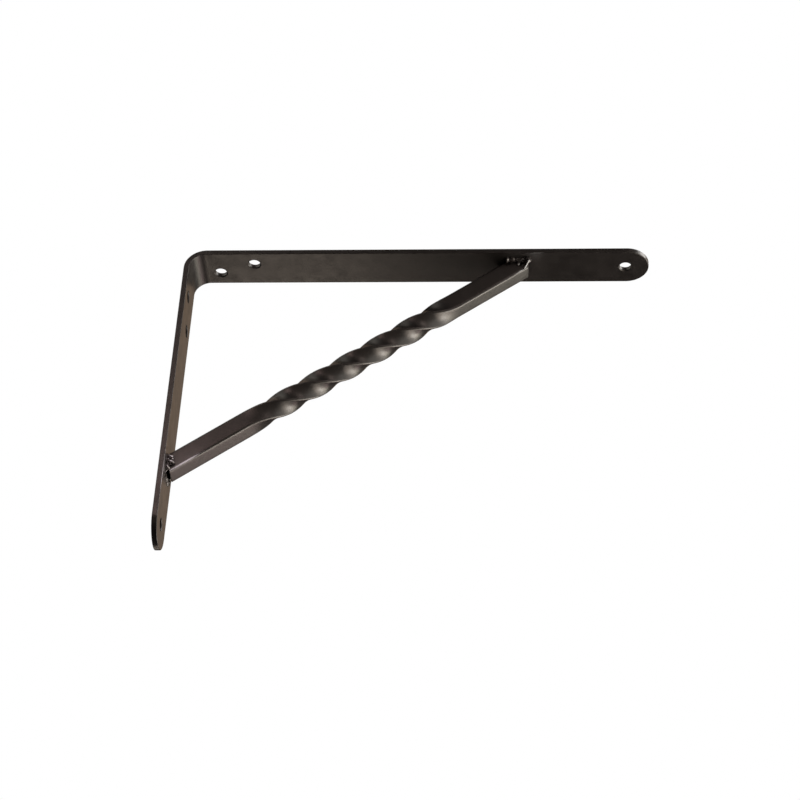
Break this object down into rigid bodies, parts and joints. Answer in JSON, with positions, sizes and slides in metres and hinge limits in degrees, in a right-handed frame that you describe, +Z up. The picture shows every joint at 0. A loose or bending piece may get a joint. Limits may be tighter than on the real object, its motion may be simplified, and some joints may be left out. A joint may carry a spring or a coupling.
{
  "type": "steel shelf bracket",
  "caption": "Right-angled flat-bar shelf bracket with a twisted square brace welded across its corner and screw holes in both legs.",
  "frame": {"origin": "on the flat back of the wall leg, on its centre line, 100 mm below the top of the shelf leg, where the bracket bears on the wall", "axes": "+X out from the wall along the shelf leg, +Z up, Y across the 25 mm width of the bar"},
  "size_m": [0.26, 0.025, 0.192],
  "materials": {
    "bar_coat": "satin dark bronze-black powder coat",
    "brace_coat": "satin dark bronze-black powder coat",
    "weld_coat": "the same coat pooled over lumpy weld metal, a little glossier"
  },
  "bodies": {
    "root": {"wall_and_shelf_bar": "bar_coat", "twisted_brace": "brace_coat", "weld_at_wall": "weld_coat", "weld_at_shelf": "weld_coat"}
  },
  "joints": []
}
